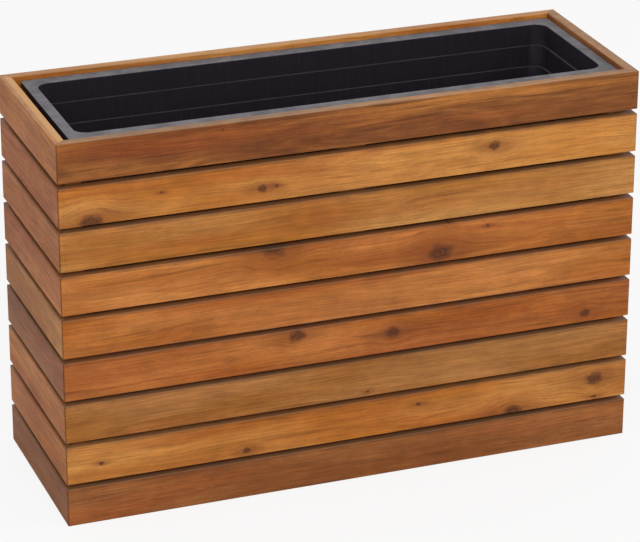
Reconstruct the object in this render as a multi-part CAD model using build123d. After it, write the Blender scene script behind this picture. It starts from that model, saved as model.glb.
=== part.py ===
from build123d import *
from math import radians, sqrt, tan
import os

# An oblong garden planter of slatted hardwood with a plastic liner that lifts out.
# Nine courses of slats run round the box, mitred and pinned at the corners, and stand on the ground.
# Inside, posts and battens hold the courses, and a slatted shelf on bearers carries the liner.
# X runs along the front, Y from front to back, Z up. The origin is on the ground under the middle.

# Courses of slats
box_length = 900.0
box_depth = 310.0
course_count = 9
slat_height = 60.0
slat_gap = 7.5
slat_thickness = 17.0
slat_edge_round = 2.0
slat_inner_chamfer = 1.0
corner_round = 3.0
mitre_gap = 0.2

# Corner posts and the battens at the middle of the long sides
post_width = 23.0
post_foot = 5.0
upright_top_clear = 3.0
batten_width = 40.0
batten_thickness = 16.0

# Shelf for the liner. Its bearers lie at the gap above this many courses
shelf_course_count = 4
bearer_width = 20.0
bearer_height = 40.0
bearer_end_gap = 0.5
shelf_slat_count = 3
shelf_slat_width = 60.0
shelf_slat_thickness = 17.0
shelf_side_clear = 8.0
shelf_end_gap = 0.5

# Liner. Its rim has play all round, and it stands towards the back right corner
rim_recess = 7.0
rim_play = 7.0
rim_gap_right = 2.0
rim_gap_back = 1.0
rim_corner = 6.0
rim_inner_round = 1.5
skirt_depth = 8.0
liner_wall = 2.5
liner_seat = 0.3
end_wall_set = 21.5
batten_clear = 10.5
post_clear = 3.0
band_height = 33.0
band_count = 2
step_width = 4.0
draft_angle = 3.0
floor_corner = 5.0
drain_radius = 4.0
drain_spacing = 520.0

# Brads and nails, square in section and set below the surface, and the slots that they fill
brad_side = 1.2
nail_side = 2.8
slot_clear = 0.05
head_set = 0.5
mitre_brad_length = 25.0
mitre_brad_spread = 22.0
post_brad_rise = 2.0
brad_bite = 11.0
shelf_brad_length = 30.0
nail_length = 38.0
nail_spread = 16.0

# Places that follow from the sizes above
pitch = slat_height + slat_gap
box_height = course_count * pitch - slat_gap
inner_length = box_length - 2 * slat_thickness
inner_depth = box_depth - 2 * slat_thickness
upright_top = box_height - rim_recess - skirt_depth - upright_top_clear
upright_height = upright_top - post_foot

bearer_middle = shelf_course_count * pitch - slat_gap / 2
bearer_top = bearer_middle + bearer_height / 2
bearer_length = inner_depth - 2 * bearer_end_gap
end_bearer_x = inner_length / 2 - post_width - bearer_width / 2
middle_bearer_x = batten_width / 2 + bearer_width / 2
bearer_places = {"left": -end_bearer_x, "middle": middle_bearer_x, "right": end_bearer_x}

shelf_top = bearer_top + shelf_slat_thickness
shelf_room = inner_depth - 2 * (post_width + shelf_side_clear)
shelf_pitch = (shelf_room - shelf_slat_width) / (shelf_slat_count - 1)
shelf_rows = [(row - (shelf_slat_count - 1) / 2) * shelf_pitch for row in range(shelf_slat_count)]

rim_top = box_height - rim_recess
rim_length = inner_length - 2 * rim_play
rim_depth = inner_depth - 2 * rim_play
liner_x = rim_play - rim_gap_right
liner_y = rim_play - rim_gap_back
liner_bottom = shelf_top + liner_seat
tub_length = inner_length - 2 * end_wall_set
tub_depth = inner_depth - 2 * (batten_thickness + batten_clear)

SIDES = (-1, 1)


def block(size, centre):
    """A plain bar of the given size about a centre."""
    return Pos(*centre) * Box(*size)


def pin(head, way, length, side, clear=0.0):
    """A brad or nail from its head along one axis. With a clearance it is the slot that takes it."""
    start = -head_set if clear else head_set
    end = length + clear
    centre = [at + step * (start + end) / 2 for at, step in zip(head, way)]
    size = [end - start if step else side + 2 * clear for step in way]
    return block(size, centre)


def mitre_brads(x_sides, y_sides):
    """The brads that close the mitres of the lowest course."""
    for side_x in x_sides:
        for side_y in y_sides:
            for level in SIDES:
                head = (
                    side_x * (box_length - slat_thickness) / 2,
                    side_y * box_depth / 2,
                    slat_height / 2 + level * mitre_brad_spread / 2,
                )
                yield head, (0, -side_y, 0), mitre_brad_length, brad_side


def post_brads(x_sides, y_sides):
    """The brads from the posts into the front and back slats of the lowest course."""
    for side_x in x_sides:
        for side_y in y_sides:
            head = (
                side_x * (inner_length - post_width) / 2,
                side_y * (inner_depth / 2 - post_width),
                slat_height / 2 + post_brad_rise,
            )
            yield head, (0, side_y, 0), post_width + brad_bite, brad_side


def batten_brads(y_sides):
    """The brads from the middle battens into the long slats of the lowest course."""
    for side_y in y_sides:
        head = (0, side_y * (inner_depth / 2 - batten_thickness), slat_height / 2 + post_brad_rise)
        yield head, (0, side_y, 0), batten_thickness + brad_bite, brad_side


def shelf_brads(x_places, rows):
    """The brads down through the shelf slats into the bearers."""
    for x in x_places:
        for y in rows:
            yield (x, y, shelf_top), (0, 0, -1), shelf_brad_length, brad_side


def bearer_nails(name, y_sides=SIDES):
    """One bearer's nails, into the posts or into the middle battens."""
    way = 1 if name == "right" else -1
    carrier = batten_thickness if name == "middle" else post_width
    for side_y in y_sides:
        for level in SIDES:
            head = (
                bearer_places[name] - way * bearer_width / 2,
                side_y * (inner_depth - carrier) / 2,
                bearer_middle + level * nail_spread / 2,
            )
            yield head, (way, 0, 0), nail_length, nail_side


def with_slots(piece, pins):
    """The piece with the slots of its brads and nails."""
    for place in pins:
        piece -= pin(*place, slot_clear)
    return piece


def on_each_course(pins):
    """The same brads on every course."""
    for course in range(course_count):
        for (x, y, z), *rest in pins:
            yield (x, y, z + course * pitch), *rest


def slat_bar(length):
    """A slat's stock along X, face towards -Y, with round outer edges and chamfered inner ones."""
    bar = block((length, slat_thickness, slat_height), (0, 0, slat_height / 2))
    outer_edges = bar.edges().filter_by(Axis.X).group_by(Axis.Y)[0]
    bar = fillet(outer_edges, slat_edge_round)
    inner_edges = bar.edges().filter_by(Axis.X).group_by(Axis.Y)[-1]
    return chamfer(inner_edges, slat_inner_chamfer)


def mitred(bar, length):
    """The stock cut to its two mitres, each set back by half the mitre gap."""
    set_back = mitre_gap / sqrt(2)
    outer = length / 2 - set_back
    inner = outer - slat_thickness
    front, back = -slat_thickness / 2, slat_thickness / 2
    plan = Polygon((-outer, front), (outer, front), (inner, back), (-inner, back), align=None)
    return bar & extrude(plan, slat_height)


def make_slats():
    """The four slats of the lowest course, with the box's upright edges rounded."""
    outline = extrude(RectangleRounded(box_length, box_depth, corner_round), slat_height)
    long_slat = Pos(0, -(box_depth - slat_thickness) / 2, 0) * mitred(slat_bar(box_length), box_length)
    end_slat = mitred(slat_bar(box_depth), box_depth)
    end_slat = Pos(-(box_length - slat_thickness) / 2, 0, 0) * Rot(0, 0, -90) * end_slat
    front = with_slots(
        long_slat & outline,
        [*mitre_brads(SIDES, (-1,)), *post_brads(SIDES, (-1,)), *batten_brads((-1,))],
    )
    left = with_slots(end_slat & outline, mitre_brads((-1,), SIDES))
    half_turn = Rot(0, 0, 180)
    return {"front": front, "back": half_turn * front, "left": left, "right": half_turn * left}


def make_post(side_x, side_y):
    """A corner post with the slots of its brads and of its bearer's nails."""
    centre = (
        side_x * (inner_length - post_width) / 2,
        side_y * (inner_depth - post_width) / 2,
        post_foot + upright_height / 2,
    )
    post = block((post_width, post_width, upright_height), centre)
    post = with_slots(post, on_each_course([*post_brads((side_x,), (side_y,))]))
    return with_slots(post, bearer_nails("left" if side_x < 0 else "right", (side_y,)))


def make_batten(side_y):
    """A middle batten with the slots of its brads and of the middle bearer's nails."""
    centre = (0, side_y * (inner_depth - batten_thickness) / 2, post_foot + upright_height / 2)
    batten = block((batten_width, batten_thickness, upright_height), centre)
    batten = with_slots(batten, on_each_course([*batten_brads((side_y,))]))
    return with_slots(batten, bearer_nails("middle", (side_y,)))


def make_bearer(name):
    """A bearer across the box under the shelf."""
    x = bearer_places[name]
    bearer = block((bearer_width, bearer_length, bearer_height), (x, 0, bearer_middle))
    return with_slots(bearer, [*bearer_nails(name), *shelf_brads((x,), shelf_rows)])


def make_shelf_slat(row):
    """One lengthwise slat of the shelf."""
    size = (inner_length - 2 * shelf_end_gap, shelf_slat_width, shelf_slat_thickness)
    slat = block(size, (0, row, shelf_top - shelf_slat_thickness / 2))
    slat = chamfer(slat.edges().filter_by(Axis.X), slat_inner_chamfer)
    return with_slots(slat, shelf_brads(bearer_places.values(), (row,)))


def tub_corner():
    """The radius of the tub's upright corners: it clears the back right post and lasts to the floor."""
    past_end = max(post_width + post_clear + liner_x - end_wall_set, 0)
    past_side = max(post_width + post_clear + liner_y - batten_thickness - batten_clear, 0)
    beside_post = past_end + past_side - post_clear + sqrt(2 * past_end * past_side)
    drafted_height = rim_top - band_count * band_height - liner_bottom
    after_draft = drafted_height * tan(radians(draft_angle)) + liner_wall + floor_corner
    return max(beside_post, after_draft)


def tub(shrink, ledge_drop, bottom):
    """A solid tub, smaller all round by shrink: straight bands that step in, then a drafted wall."""
    solid = Part()
    top = rim_top
    inset = shrink
    for band in range(band_count + 1):
        last = band == band_count
        low = bottom if last else rim_top - (band + 1) * band_height - ledge_drop
        outline = RectangleRounded(tub_length - 2 * inset, tub_depth - 2 * inset, tub_corner() - shrink)
        solid += extrude(Pos(0, 0, top) * outline, low - top, taper=draft_angle if last else 0)
        top = low
        inset += step_width
    return solid


def make_liner():
    """The liner: tub, flat rim, a skirt turned down round the rim, and drains over the shelf's gap."""
    rim_outline = Pos(0, 0, rim_top) * RectangleRounded(rim_length, rim_depth, rim_corner)
    under_rim = Pos(0, 0, rim_top - liner_wall) * RectangleRounded(
        rim_length - 2 * liner_wall, rim_depth - 2 * liner_wall, rim_corner - liner_wall
    )
    rim = extrude(rim_outline, -skirt_depth) - extrude(under_rim, -skirt_depth)
    liner = rim + tub(0.0, liner_wall, liner_bottom)
    liner -= tub(liner_wall, 0.0, liner_bottom + liner_wall)
    opening = [
        edge
        for edge in liner.edges().group_by(Axis.Z)[-1]
        if abs(edge.center().X) < tub_length / 2 and abs(edge.center().Y) < tub_depth / 2
    ]
    liner = Pos(liner_x, liner_y, 0) * fillet(opening, rim_inner_round)
    for side_x in SIDES:
        drain = Cylinder(drain_radius, 4 * liner_wall)
        liner -= Pos(side_x * drain_spacing / 2, -shelf_pitch / 2, liner_bottom) * drain
    return liner


def fasteners():
    """The groups of like fasteners."""
    groups = {
        "mitre_brads": on_each_course([*mitre_brads(SIDES, SIDES)]),
        "post_brads": on_each_course([*post_brads(SIDES, SIDES)]),
        "batten_brads": on_each_course([*batten_brads(SIDES)]),
        "shelf_brads": shelf_brads(bearer_places.values(), shelf_rows),
        "bearer_nails": (place for name in bearer_places for place in bearer_nails(name)),
    }
    return {
        name: Compound(children=[pin(*place) for place in places])
        for name, places in groups.items()
    }


def make_nodes():
    """Every piece under the name of its node."""
    nodes = {}
    for side, slat in make_slats().items():
        for course in range(course_count):
            nodes[f"{side}_slat_{course + 1}"] = Pos(0, 0, course * pitch) * slat
    for end, side_x in zip(("left", "right"), SIDES):
        for face, side_y in zip(("front", "back"), SIDES):
            nodes[f"{face}_{end}_post"] = make_post(side_x, side_y)
    nodes["front_batten"] = make_batten(-1)
    nodes["back_batten"] = make_batten(1)
    for name in bearer_places:
        nodes[f"{name}_bearer"] = make_bearer(name)
    for number, row in enumerate(shelf_rows, 1):
        nodes[f"shelf_slat_{number}"] = make_shelf_slat(row)
    nodes["liner"] = make_liner()
    nodes.update(fasteners())
    return nodes


os.makedirs("parts", exist_ok=True)
for node, piece in make_nodes().items():
    export_step(piece, f"parts/{node}.step")
print("box", box_length, box_depth, box_height, "liner height", rim_top - liner_bottom)
print("tub corner radius", round(tub_corner(), 2))
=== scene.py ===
import math

import bpy
from mathutils import Matrix, Vector

# An oblong acacia planter: mitred slats on posts, a shelf inside and a black liner that lifts out.
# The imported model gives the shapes. Here they get wood, plastic and steel finishes, light and a camera.

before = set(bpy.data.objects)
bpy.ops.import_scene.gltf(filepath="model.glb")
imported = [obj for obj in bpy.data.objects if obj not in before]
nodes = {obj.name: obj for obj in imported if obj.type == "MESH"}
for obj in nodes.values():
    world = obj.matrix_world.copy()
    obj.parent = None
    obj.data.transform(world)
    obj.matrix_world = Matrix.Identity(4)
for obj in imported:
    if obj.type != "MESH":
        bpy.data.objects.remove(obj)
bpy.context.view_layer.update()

# Sizes of the box, its slats and the liner's rim in metres, and the number of courses
BOX_LENGTH = 0.900
BOX_DEPTH = 0.310
SLAT_HEIGHT = 0.060
COURSE_PITCH = 0.0675
COURSES = 9
RIM_TOP = 0.593

# How far sharp edges are eased, and where the sapwood of the left top slat starts, in metres
EDGE_EASE = 0.0004
SAPWOOD_START = -0.444

# How each board lies: which way its grain runs, then the way up its face and the way through it
ALONG_FRONT = "XZY"
ALONG_END = "YZX"
UPRIGHT = "ZXY"
FLAT_ALONG = "XYZ"


def tone(red, green, blue):
    """A colour from screen values of 0 to 255."""
    def linear(value):
        share = value / 255
        return share / 12.92 if share <= 0.04045 else ((share + 0.055) / 1.055) ** 2.4
    return (linear(red), linear(green), linear(blue), 1.0)


# Stock that the boards are cut from: pale side, body, dark side, and how strongly the bands show
GOLDEN = (tone(212, 148, 76), tone(184, 114, 40), tone(150, 80, 38), 0.45)
HONEY = (tone(196, 138, 74), tone(170, 106, 40), tone(138, 80, 38), 0.45)
AMBER = (tone(198, 128, 66), tone(174, 102, 36), tone(140, 72, 34), 0.5)
RUSSET = (tone(190, 118, 58), tone(168, 94, 32), tone(130, 58, 28), 0.6)
OLIVE = (tone(178, 122, 68), tone(160, 101, 42), tone(126, 74, 38), 0.4)
UMBER = (tone(190, 122, 58), tone(144, 82, 36), tone(92, 46, 28), 0.8)
WALNUT = (tone(166, 106, 58), tone(142, 83, 40), tone(102, 56, 32), 0.5)
SAWN = (tone(196, 142, 78), tone(170, 114, 56), tone(140, 86, 40), 0.5)

KNOT_HEART = tone(66, 38, 24)
KNOT_RED = tone(96, 54, 32)
KNOT_HALO = tone(122, 66, 34)
HEARTWOOD_RED = tone(164, 78, 36)
STREAK_DARK = tone(88, 48, 28)
FLECK_DARK = tone(92, 50, 26)
SAPWOOD = tone(220, 158, 82)
EDGE_SHEEN_GREY = tone(132, 106, 82)
DUST_AND_SHEEN_WARM = tone(222, 186, 144)
DUST_AND_REFLECTION_GREY = tone(176, 172, 176)
PAINTED_EDGE_SHADE = tone(222, 214, 206)
JOINT_DARK = tone(84, 52, 32)

# How much dust lies on what faces up. On the top course it is also a painted sheen, and on the liner's rim
# and steps also a painted reflection.
TOP_DUST_AND_SHEEN = 0.36
SLAT_DUST = 0.05
FRAME_DUST = 0.15
SHELF_DUST = 0.25
RIM_DUST_AND_REFLECTION = 0.50
STEP_DUST_AND_REFLECTION = 0.14

# How rough and how shiny the wood and the liner are
OILED_ROUGHNESS = 0.42
SAWN_ROUGHNESS = 0.6
WOOD_SHINE = 0.12
LINER_SHINE = 0.2

# How strongly the redder wood, the halo of a knot and its heart show
REDNESS_SHARE = 0.30
HALO_SHARE = 0.55
HEART_SHARE = 0.84


def add(tree, kind, sockets=None, **settings):
    """A shader node with its settings. Its sockets are given values or joined to outputs."""
    made = tree.nodes.new("ShaderNode" + kind)
    for name, value in settings.items():
        setattr(made, name, value)
    for name, value in (sockets or {}).items():
        if isinstance(value, bpy.types.NodeSocket):
            tree.links.new(value, made.inputs[name])
        else:
            made.inputs[name].default_value = value
    return made


def maths(tree, operation, *values):
    """The output of one sum on numbers."""
    return add(tree, "Math", dict(enumerate(values)), operation=operation).outputs[0]


def vectors(tree, operation, *values):
    """The output of one sum on vectors."""
    made = add(tree, "VectorMath", dict(enumerate(values)), operation=operation)
    return made.outputs["Value" if operation == "LENGTH" else "Vector"]


def fade(tree, value, start, end, low=0.0, high=1.0):
    """A smooth change from low to high while the value goes from start to end."""
    sockets = {"Value": value, "From Min": start, "From Max": end, "To Min": low, "To Max": high}
    return add(tree, "MapRange", sockets, interpolation_type="SMOOTHSTEP").outputs["Result"]


def blend(tree, share, first, second, way="MIX"):
    """Two colours laid over each other by a share."""
    sockets = {0: share, 6: first, 7: second}
    made = add(tree, "Mix", sockets, data_type="RGBA", blend_type=way, clamp_factor=True)
    return made.outputs[2]


def noise(tree, place, scale, detail=2.0, roughness=0.5):
    """Noise at a place that is stretched by one scale along each axis."""
    stretched = vectors(tree, "MULTIPLY", place, scale)
    sockets = {"Vector": stretched, "Scale": 1.0, "Detail": detail, "Roughness": roughness}
    return add(tree, "TexNoise", sockets)


def new_group(name, inputs, outputs):
    """A shader group with named sockets, and the nodes that bring its values in and out."""
    group = bpy.data.node_groups.new(name, "ShaderNodeTree")
    for label, (kind, default) in inputs.items():
        socket = group.interface.new_socket(label, in_out="INPUT", socket_type="NodeSocket" + kind)
        socket.default_value = default
    for label in outputs:
        kind = "Vector" if label == "Place" else "Float"
        group.interface.new_socket(label, in_out="OUTPUT", socket_type="NodeSocket" + kind)
    return group, group.nodes.new("NodeGroupInput").outputs, group.nodes.new("NodeGroupOutput").inputs


def use(tree, group, sockets):
    """One copy of a group in a material, and its outputs."""
    made = tree.nodes.new("ShaderNodeGroup")
    made.node_tree = group
    for name, value in sockets.items():
        if isinstance(value, bpy.types.NodeSocket):
            tree.links.new(value, made.inputs[name])
        else:
            made.inputs[name].default_value = value
    return made.outputs


def make_acacia_grain():
    """The grain of a board, from growth bands down to flecks. Place is along, up and through it."""
    group, given, result = new_group(
        "acacia_grain",
        {
            "Place": ("Vector", (0, 0, 0)),
            "Seed": ("Float", 0.0),
            "Heart": ("Vector", (0, 0.03, -0.05)),
            "Ring Width": ("Float", 0.005),
            "Wander": ("Float", 0.012),
        },
        ["Bands", "Streaks", "Fibres", "Flecks", "Mottle", "Drift", "Redness"],
    )
    shift = vectors(group, "MULTIPLY", given["Seed"], (1.7, 0.31, 0.53))
    own = vectors(group, "ADD", given["Place"], shift)
    wander = noise(group, own, (2.6, 11, 11), 2.0).outputs["Color"]
    wander = vectors(group, "SUBTRACT", wander, (0.5, 0.5, 0.5))
    wander = vectors(group, "MULTIPLY", wander, (0, 1, 1))
    bent = add(group, "VectorMath", {0: wander, "Scale": given["Wander"]}, operation="SCALE").outputs[0]
    bent = vectors(group, "ADD", given["Place"], bent)
    lines = vectors(group, "ADD", bent, shift)

    from_heart = vectors(group, "SUBTRACT", bent, given["Heart"])
    across = vectors(group, "LENGTH", vectors(group, "MULTIPLY", from_heart, (0, 1, 1)))
    ring = maths(group, "DIVIDE", across, given["Ring Width"])
    along = add(group, "SeparateXYZ", {0: own}).outputs["X"]
    ring_place = add(group, "CombineXYZ", {"X": ring, "Y": maths(group, "MULTIPLY", along, 1.6)}).outputs[0]
    ring_place = vectors(group, "ADD", ring_place, vectors(group, "MULTIPLY", given["Seed"], (7.3, 2.1, 0)))
    broad = noise(group, ring_place, (0.42, 1, 1), 1.0).outputs["Fac"]
    fine = noise(group, ring_place, (1.5, 1, 1), 2.0, 0.6).outputs["Fac"]
    bands = maths(group, "ADD", maths(group, "MULTIPLY", broad, 0.6), maths(group, "MULTIPLY", fine, 0.4))
    group.links.new(fade(group, bands, 0.34, 0.66), result["Bands"])

    streaks = noise(group, lines, (3.5, 190, 190), 3.0, 0.6).outputs["Fac"]
    group.links.new(fade(group, streaks, 0.54, 0.72), result["Streaks"])
    fibres = noise(group, lines, (9, 430, 430), 3.0, 0.7).outputs["Fac"]
    group.links.new(fibres, result["Fibres"])
    flecks = noise(group, lines, (120, 520, 520), 2.0, 0.6).outputs["Fac"]
    group.links.new(fade(group, flecks, 0.58, 0.72), result["Flecks"])
    mottle = noise(group, own, (30, 48, 48), 3.0, 0.6).outputs["Fac"]
    group.links.new(mottle, result["Mottle"])
    drift = noise(group, own, (3.2, 17, 17), 1.5).outputs["Fac"]
    group.links.new(fade(group, drift, 0.32, 0.68), result["Drift"])
    redness = noise(group, vectors(group, "ADD", own, (5.1, 3.3, 1.9)), (2.4, 24, 24), 2.0).outputs["Fac"]
    group.links.new(fade(group, redness, 0.48, 0.72), result["Redness"])
    return group


def make_wood_knot():
    """One knot through a board: its dark heart and rings, its long halo, and the grain bent round it."""
    group, given, result = new_group(
        "wood_knot",
        {"Place": ("Vector", (0, 0, 0)), "Centre": ("Vector", (0, 0, 0)), "Size": ("Float", 0.008)},
        ["Place", "Heart", "Rings", "Halo"],
    )
    away = vectors(group, "SUBTRACT", given["Place"], given["Centre"])
    per_size = maths(group, "DIVIDE", 1.0, given["Size"])
    scaled = add(group, "VectorMath", {0: away, "Scale": per_size}, operation="SCALE").outputs[0]
    flat = vectors(group, "MULTIPLY", scaled, (1, 1, 0))
    own = vectors(group, "ADD", flat, vectors(group, "MULTIPLY", given["Centre"], (90, 90, 0)))
    ragged = noise(group, own, (0.9, 1.3, 1), 3.0).outputs["Color"]
    ragged = vectors(group, "SUBTRACT", ragged, (0.5, 0.5, 0.5))
    flat = vectors(group, "ADD", flat, vectors(group, "MULTIPLY", ragged, (1.8, 1.1, 0)))
    reach = vectors(group, "LENGTH", vectors(group, "MULTIPLY", flat, (0.75, 1, 0)))
    long_reach = vectors(group, "LENGTH", vectors(group, "MULTIPLY", flat, (0.32, 1, 0)))
    group.links.new(fade(group, reach, 1.45, 0.45), result["Heart"])
    ring_place = add(group, "CombineXYZ", {"X": reach}).outputs[0]
    rings = noise(group, ring_place, (5, 1, 1), 2.0).outputs["Fac"]
    group.links.new(fade(group, rings, 0.4, 0.62), result["Rings"])
    group.links.new(fade(group, long_reach, 2.8, 0.5), result["Halo"])
    near = fade(group, reach, 4.2, 0.7, 0.0, 0.7)
    upward = vectors(group, "MULTIPLY", away, (0, 1, 0))
    pull = add(group, "VectorMath", {0: upward, "Scale": near}, operation="SCALE").outputs[0]
    group.links.new(vectors(group, "SUBTRACT", given["Place"], pull), result["Place"])
    return group


def make_dust_and_sheen():
    """Fine dust and wear on what faces up, also used as a painted sheen on the top slats and as a painted
    reflection on the liner's rim and steps.
    """
    group, given, result = new_group(
        "dust_and_sheen",
        {"Place": ("Vector", (0, 0, 0)), "Amount": ("Float", 0.3)},
        ["Dust"],
    )
    facing = add(group, "SeparateXYZ", {0: add(group, "NewGeometry").outputs["Normal"]}).outputs["Z"]
    patchy = noise(group, given["Place"], (38, 38, 38), 4.0, 0.6).outputs["Fac"]
    patchy = fade(group, patchy, 0.3, 0.75, 0.55, 1.0)
    up = fade(group, facing, 0.45, 0.98)
    dusty = maths(group, "MULTIPLY", up, patchy)
    group.links.new(maths(group, "MULTIPLY", dusty, given["Amount"]), result["Dust"])
    return group


ACACIA_GRAIN = make_acacia_grain()
WOOD_KNOT = make_wood_knot()
DUST_AND_SHEEN = make_dust_and_sheen()


def new_material(name):
    """A material with an empty tree but its output and Principled shader."""
    material = bpy.data.materials.new(name)
    material.use_nodes = True
    tree = material.node_tree
    tree.nodes.clear()
    shader = add(tree, "BsdfPrincipled")
    output = add(tree, "OutputMaterial")
    tree.links.new(shader.outputs[0], output.inputs["Surface"])
    return material, tree, shader


def board_place(tree, lie, foot=0.0):
    """The place on a board as along, up and through it. Foot is the height of its lower edge."""
    own = add(tree, "TexCoord").outputs["Object"]
    split = add(tree, "SeparateXYZ", {0: own}).outputs
    order = {name: split[axis] for name, axis in zip("XYZ", lie)}
    turned = add(tree, "CombineXYZ", order).outputs[0]
    return vectors(tree, "SUBTRACT", turned, (0, foot, 0))


def top_edge(tree, place, start, end):
    """The share of a slat's upper edge between two heights, uneven along it."""
    up = add(tree, "SeparateXYZ", {0: place}).outputs["Y"]
    patchy = noise(tree, place, (30, 200, 60), 2.0).outputs["Fac"]
    band = fade(tree, up, start, end)
    return maths(tree, "MULTIPLY", band, fade(tree, patchy, 0.3, 0.6, 0.4, 1.0))


def mitre_line(tree, place, half_length, half_depth):
    """How near a slat's surface is to the joint at its mitres."""
    split = add(tree, "SeparateXYZ", {0: place}).outputs
    from_end = maths(tree, "SUBTRACT", half_length, maths(tree, "ABSOLUTE", split["X"]))
    from_face = maths(tree, "SUBTRACT", half_depth, maths(tree, "ABSOLUTE", split["Z"]))
    apart = maths(tree, "ABSOLUTE", maths(tree, "SUBTRACT", from_end, from_face))
    return fade(tree, apart, 0.0024, 0.0006)


def board_colour(tree, grain, stock):
    """The colours of a board's grain laid over each other."""
    pale, body, dark, strength = stock
    colour = blend(tree, grain["Drift"], body, pale)
    colour = blend(tree, maths(tree, "MULTIPLY", grain["Bands"], strength), colour, dark)
    colour = blend(tree, maths(tree, "MULTIPLY", grain["Redness"], REDNESS_SHARE), colour, HEARTWOOD_RED)
    colour = blend(tree, maths(tree, "MULTIPLY", grain["Streaks"], 0.75 * strength), colour, STREAK_DARK)
    fibres = fade(tree, grain["Fibres"], 0.3, 0.7, 0.78, 1.14)
    mottle = fade(tree, grain["Mottle"], 0.3, 0.7, 0.91, 1.08)
    light = maths(tree, "MULTIPLY", fibres, mottle)
    grey = add(tree, "CombineColor", {0: light, 1: light, 2: light}).outputs[0]
    colour = blend(tree, 1.0, colour, grey, "MULTIPLY")
    return blend(tree, maths(tree, "MULTIPLY", grain["Flecks"], 0.55 * strength), colour, FLECK_DARK)


def wood(
    name, stock, lie, seed, foot=0.0, knots=(), *, dust_and_sheen_amount, roughness, sapwood=None, mitres=None, top=False
):
    """Acacia for one board, with its own stock, seed and knots, and a pale sapwood edge or none."""
    material, tree, shader = new_material(name)
    flat_place = board_place(tree, lie, foot)
    place = flat_place
    bent_by = []
    for along, up, size in knots:
        knot = use(tree, WOOD_KNOT, {"Place": place, "Centre": (along, up, 0), "Size": size})
        place = knot["Place"]
        bent_by.append(knot)
    grain = use(
        tree,
        ACACIA_GRAIN,
        {
            "Place": place,
            "Seed": seed,
            "Heart": (0, 0.030 + 0.045 * math.sin(seed * 2.3), -0.030 - 0.012 * (seed % 5)),
            "Ring Width": 0.0042,
            "Wander": 0.030,
        },
    )
    colour = board_colour(tree, grain, stock)
    if sapwood is not None:
        through = add(tree, "SeparateXYZ", {0: place}).outputs["Z"]
        strip = fade(tree, through, sapwood - 0.002, sapwood + 0.003, 0.0, 0.85)
        colour = blend(tree, strip, colour, SAPWOOD)
    for knot in bent_by:
        colour = blend(tree, maths(tree, "MULTIPLY", knot["Halo"], HALO_SHARE), colour, KNOT_HALO)
    for knot in bent_by:
        heart = blend(tree, knot["Rings"], KNOT_HEART, KNOT_RED)
        colour = blend(tree, maths(tree, "MULTIPLY", knot["Heart"], HEART_SHARE), colour, heart)
    if mitres:
        joint = maths(tree, "MULTIPLY", mitre_line(tree, flat_place, *mitres), 0.6)
        colour = blend(tree, joint, colour, JOINT_DARK)
    if mitres and not top:
        # Painted shade: the upper band of each slat's face, where its rounded edge turns away, is darkened.
        shade = top_edge(tree, flat_place, SLAT_HEIGHT - 0.006, SLAT_HEIGHT - 0.0015)
        colour = blend(tree, shade, colour, PAINTED_EDGE_SHADE, "MULTIPLY")
        # Painted highlight: a thin grey line on each slat's rounded top edge stands in for its sheen.
        edge_sheen = top_edge(tree, flat_place, SLAT_HEIGHT - 0.0020, SLAT_HEIGHT - 0.0008)
        colour = blend(tree, maths(tree, "MULTIPLY", edge_sheen, 0.45), colour, EDGE_SHEEN_GREY)
    # Up-facing faces are lightened by warm dust. On the top course the larger amount is also a painted
    # sheen on its top faces.
    dust_sheen_share = use(tree, DUST_AND_SHEEN, {"Place": flat_place, "Amount": dust_and_sheen_amount})["Dust"]
    colour = blend(tree, dust_sheen_share, colour, DUST_AND_SHEEN_WARM)
    tree.links.new(colour, shader.inputs["Base Color"])
    rough = fade(tree, grain["Fibres"], 0.3, 0.7, roughness + 0.10, roughness - 0.04)
    tree.links.new(rough, shader.inputs["Roughness"])
    relief = maths(tree, "SUBTRACT", maths(tree, "MULTIPLY", grain["Fibres"], 0.6), grain["Flecks"])
    bump = add(tree, "Bump", {"Strength": 0.35, "Distance": 0.0004, "Height": relief})
    tree.links.new(bump.outputs[0], shader.inputs["Normal"])
    shader.inputs["Specular IOR Level"].default_value = WOOD_SHINE
    return material


def liner_plastic():
    """Black moulded plastic, matt, scuffed a little, with grey dust and a painted reflection on its rim,
    and less of both on its steps.
    """
    material, tree, shader = new_material("liner_plastic")
    own = add(tree, "TexCoord").outputs["Object"]
    scuffs = noise(tree, own, (260, 260, 9), 3.0, 0.6).outputs["Fac"]
    clouds = noise(tree, own, (14, 14, 14), 3.0).outputs["Fac"]
    grainy = noise(tree, own, (1400, 1400, 1400), 1.0).outputs["Fac"]
    black = tone(29, 25, 33)
    worn = tone(45, 42, 48)
    colour = blend(tree, fade(tree, scuffs, 0.45, 0.8, 0.0, 0.5), black, worn)
    height = add(tree, "SeparateXYZ", {0: own}).outputs["Z"]
    # The rim and the step ledges are lightened grey: partly dust, partly a painted reflection of the bright
    # surroundings.
    amount = fade(tree, height, RIM_TOP - 0.020, RIM_TOP - 0.005, STEP_DUST_AND_REFLECTION, RIM_DUST_AND_REFLECTION)
    dust_sheen_share = use(tree, DUST_AND_SHEEN, {"Place": own, "Amount": amount})["Dust"]
    colour = blend(tree, dust_sheen_share, colour, DUST_AND_REFLECTION_GREY)
    tree.links.new(colour, shader.inputs["Base Color"])
    tree.links.new(fade(tree, clouds, 0.3, 0.7, 0.60, 0.72), shader.inputs["Roughness"])
    shader.inputs["Specular IOR Level"].default_value = LINER_SHINE
    relief = maths(tree, "ADD", maths(tree, "MULTIPLY", grainy, 0.4), scuffs)
    bump = add(tree, "Bump", {"Strength": 0.2, "Distance": 0.0003, "Height": relief})
    tree.links.new(bump.outputs[0], shader.inputs["Normal"])
    return material


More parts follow.
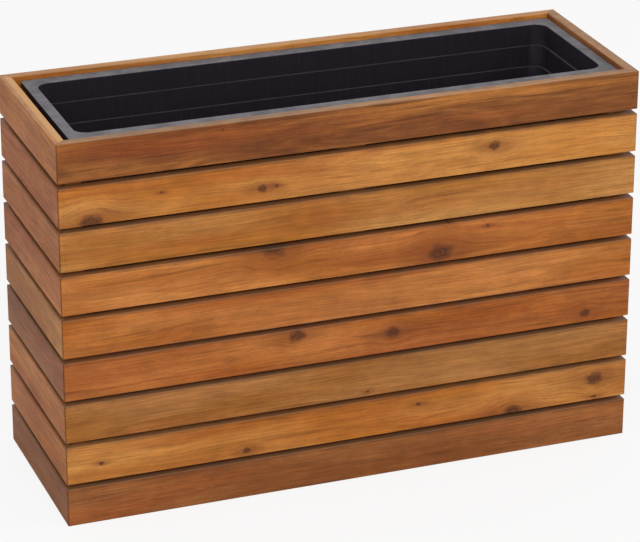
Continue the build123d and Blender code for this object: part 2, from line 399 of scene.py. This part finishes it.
def steel(name, body, roughness):
    """Drawn steel wire for brads and nails, with a mottled zinc skin."""
    material, tree, shader = new_material(name)
    own = add(tree, "TexCoord").outputs["Object"]
    mottle = noise(tree, own, (900, 900, 900), 3.0).outputs["Fac"]
    colour = blend(tree, fade(tree, mottle, 0.3, 0.7), body, tone(92, 88, 82))
    tree.links.new(colour, shader.inputs["Base Color"])
    tree.links.new(fade(tree, mottle, 0.3, 0.7, roughness, roughness + 0.2), shader.inputs["Roughness"])
    shader.inputs["Metallic"].default_value = 1.0
    return material


def dress(node, material, bevel=0.0):
    """A CAD node in its material, its sharp edges eased a little where asked."""
    piece = nodes[node]
    piece.data.materials.clear()
    piece.data.materials.append(material)
    if bevel:
        weld = piece.modifiers.new("weld", "WELD")
        weld.merge_threshold = 0.00002
        ease = piece.modifiers.new("ease", "BEVEL")
        ease.width = bevel
        ease.segments = 2
        ease.limit_method = "ANGLE"
        ease.angle_limit = math.radians(40)
        ease.harden_normals = True


# Boards of the front, from the ground up, and the knots that show in them: along, up, size
FRONT_STOCK = [WALNUT, GOLDEN, OLIVE, RUSSET, AMBER, AMBER, HONEY, GOLDEN, UMBER]
FRONT_KNOTS = {
    2: [(0.397, 0.036, 0.010), (0.258, 0.000, 0.012), (-0.397, 0.028, 0.003), (-0.172, 0.010, 0.0045)]
    + [(0.103, 0.041, 0.003), (0.396, 0.011, 0.0035)],
    3: [(0.020, 0.008, 0.002)],
    4: [(-0.091, 0.050, 0.009), (0.060, 0.033, 0.008), (0.375, 0.015, 0.0065)],
    6: [(0.135, 0.016, 0.013), (-0.128, 0.060, 0.013), (0.148, 0.058, 0.002), (0.210, 0.048, 0.002)],
    8: [(0.217, 0.039, 0.007), (-0.145, 0.021, 0.0055), (-0.123, 0.022, 0.002)]
    + [(-0.401, 0.003, 0.012), (-0.297, 0.036, 0.002)],
    9: [(-0.204, 0.052, 0.0015)],
}
END_STOCK = [WALNUT, AMBER, AMBER, WALNUT, HONEY, RUSSET, AMBER, RUSSET, AMBER]
BACK_STOCK = [OLIVE, AMBER, GOLDEN, WALNUT, HONEY, AMBER, RUSSET, HONEY, GOLDEN]


def dress_slats():
    """Every slat in its own board."""
    # Each side's boards, how they lie, and its first seed, so that no two boards share their grain
    sides = {
        "front": (FRONT_STOCK, ALONG_FRONT, 0.0),
        "back": (BACK_STOCK, ALONG_FRONT, 20.0),
        "left": (END_STOCK, ALONG_END, 40.0),
        "right": (END_STOCK[::-1], ALONG_END, 60.0),
    }
    reach = (BOX_LENGTH / 2, BOX_DEPTH / 2)
    for side, (boards, lie, first_seed) in sides.items():
        for course in range(COURSES):
            name = f"{side}_slat_{course + 1}"
            knots = FRONT_KNOTS.get(course + 1, []) if side == "front" else []
            top = course == COURSES - 1
            board = wood(
                name,
                boards[course],
                lie,
                first_seed + course,
                course * COURSE_PITCH,
                knots,
                dust_and_sheen_amount=TOP_DUST_AND_SHEEN if top else SLAT_DUST,
                roughness=OILED_ROUGHNESS,
                sapwood=SAPWOOD_START if name == "left_slat_9" else None,
                mitres=reach if lie == ALONG_FRONT else reach[::-1],
                top=top,
            )
            dress(name, board, EDGE_EASE)


def dress_frame():
    """Posts, battens, bearers and shelf slats in sawn wood, plainer than the slats."""
    uprights = [f"{face}_{end}_post" for face in ("front", "back") for end in ("left", "right")]
    uprights += ["front_batten", "back_batten"]
    bearers = ["left_bearer", "middle_bearer", "right_bearer"]
    shelf = ["shelf_slat_1", "shelf_slat_2", "shelf_slat_3"]
    # Each kind's names, how it lies, its first seed and its dust
    kinds = (
        (uprights, UPRIGHT, 80.0, FRAME_DUST),
        (bearers, ALONG_END, 90.0, FRAME_DUST),
        (shelf, FLAT_ALONG, 101.0, SHELF_DUST),
    )
    for names, lie, first_seed, dust_and_sheen_amount in kinds:
        for number, name in enumerate(names):
            board = wood(name, SAWN, lie, first_seed + number, dust_and_sheen_amount=dust_and_sheen_amount, roughness=SAWN_ROUGHNESS)
            dress(name, board, EDGE_EASE)


def dress_fasteners():
    """Brads and nails in zinc."""
    brads = steel("brad_steel", tone(70, 62, 54), 0.45)
    nails = steel("nail_steel", tone(140, 138, 134), 0.4)
    for name in ("mitre_brads", "post_brads", "batten_brads", "shelf_brads"):
        dress(name, brads)
    dress("bearer_nails", nails)


dress_slats()
dress_frame()
dress_fasteners()
dress("liner", liner_plastic(), EDGE_EASE)

# How white the camera sees the floor, over how many metres that starts at the box's edge, and how
# brightly the world lights the box
FLOOR_WHITE = 0.84
FLOOR_FADE = 0.02
WORLD_LIGHT = 0.62


def seen_share(tree):
    """1 where the camera, a reflection or a see-through surface looks, else 0."""
    path = add(tree, "LightPath").outputs
    seen = maths(tree, "MAXIMUM", path["Is Camera Ray"], path["Is Glossy Ray"])
    return maths(tree, "MAXIMUM", seen, path["Is Transmission Ray"])


def beside_box(tree):
    """How much of the floor's white the camera sees: none of it on the ground inside the box."""
    own = add(tree, "SeparateXYZ", {0: add(tree, "TexCoord").outputs["Object"]}).outputs
    ends = fade(tree, maths(tree, "ABSOLUTE", own["X"]), BOX_LENGTH / 2 - FLOOR_FADE, BOX_LENGTH / 2)
    sides = fade(tree, maths(tree, "ABSOLUTE", own["Y"]), BOX_DEPTH / 2 - FLOOR_FADE, BOX_DEPTH / 2)
    return maths(tree, "MULTIPLY", maths(tree, "MAXIMUM", ends, sides), FLOOR_WHITE)


def make_floor():
    """A plain pale floor that keeps a soft shadow."""
    mesh = bpy.data.meshes.new("floor")
    reach = 40.0
    corners = [(-reach, -reach, 0), (reach, -reach, 0), (reach, reach, 0), (-reach, reach, 0)]
    mesh.from_pydata(corners, [], [(0, 1, 2, 3)])
    floor = bpy.data.objects.new("floor", mesh)
    bpy.context.scene.collection.objects.link(floor)
    material, tree, shader = new_material("pale_floor")
    shader.inputs["Base Color"].default_value = (0.9, 0.9, 0.9, 1)
    shader.inputs["Roughness"].default_value = 0.9
    shader.inputs["Specular IOR Level"].default_value = 0.1
    glow = add(tree, "Emission", {"Color": (1, 1, 1, 1), "Strength": 1.0})
    share = maths(tree, "MULTIPLY", add(tree, "LightPath").outputs["Is Camera Ray"], beside_box(tree))
    mixed = add(tree, "MixShader", {0: share, 1: shader.outputs[0], 2: glow.outputs[0]})
    tree.links.new(mixed.outputs[0], tree.nodes["Material Output"].inputs["Surface"])
    mesh.materials.append(material)


def make_world():
    """Even studio light all round, seen as white."""
    world = bpy.data.worlds.new("studio")
    bpy.context.scene.world = world
    world.use_nodes = True
    tree = world.node_tree
    tree.nodes.clear()
    strength = fade(tree, seen_share(tree), 0.0, 1.0, WORLD_LIGHT, 1.0)
    background = add(tree, "Background", {"Color": (1, 1, 1, 1), "Strength": strength})
    output = add(tree, "OutputWorld")
    tree.links.new(background.outputs[0], output.inputs["Surface"])


# Lamps: where each stands and how wide it is, in metres, its power in watts, and where both point
KEY_LAMP = ((-0.9, -3.4, 2.5), 2.4, 62)
FILL_LAMP = ((3.0, -1.2, 1.8), 2.0, 7)
LAMP_AIM = (0, 0, 0.3)


def make_softbox(name, place, size, power):
    """A large soft lamp that points at the middle of the box."""
    lamp = bpy.data.lights.new(name, "AREA")
    lamp.shape = "DISK"
    lamp.size = size
    lamp.energy = power
    softbox = bpy.data.objects.new(name, lamp)
    softbox.location = place
    aim = Vector(LAMP_AIM) - Vector(place)
    softbox.rotation_euler = aim.to_track_quat("-Z", "Y").to_euler()
    bpy.context.scene.collection.objects.link(softbox)


# Camera: where it stands, in metres, and how it is turned, in degrees
CAMERA_PLACE = (-1.504, -4.033, 2.134)
CAMERA_YAW = 20.47
CAMERA_PITCH = 23.30
CAMERA_ROLL = 0.14
CAMERA_LENS = 173.0


def make_camera():
    """The camera at the photograph's viewpoint."""
    lens = bpy.data.cameras.new("camera")
    lens.sensor_width = 36.0
    lens.lens = CAMERA_LENS
    lens.clip_end = 100.0
    camera = bpy.data.objects.new("camera", lens)
    turn = Matrix.Rotation(math.radians(-CAMERA_YAW), 4, "Z")
    tilt = Matrix.Rotation(math.radians(90 - CAMERA_PITCH), 4, "X")
    roll = Matrix.Rotation(math.radians(CAMERA_ROLL), 4, "Z")
    camera.matrix_world = Matrix.Translation(CAMERA_PLACE) @ turn @ tilt @ roll
    bpy.context.scene.collection.objects.link(camera)
    bpy.context.scene.camera = camera


make_floor()
make_world()
make_softbox("key", *KEY_LAMP)
make_softbox("fill", *FILL_LAMP)
make_camera()
bpy.context.scene.view_settings.view_transform = "Standard"
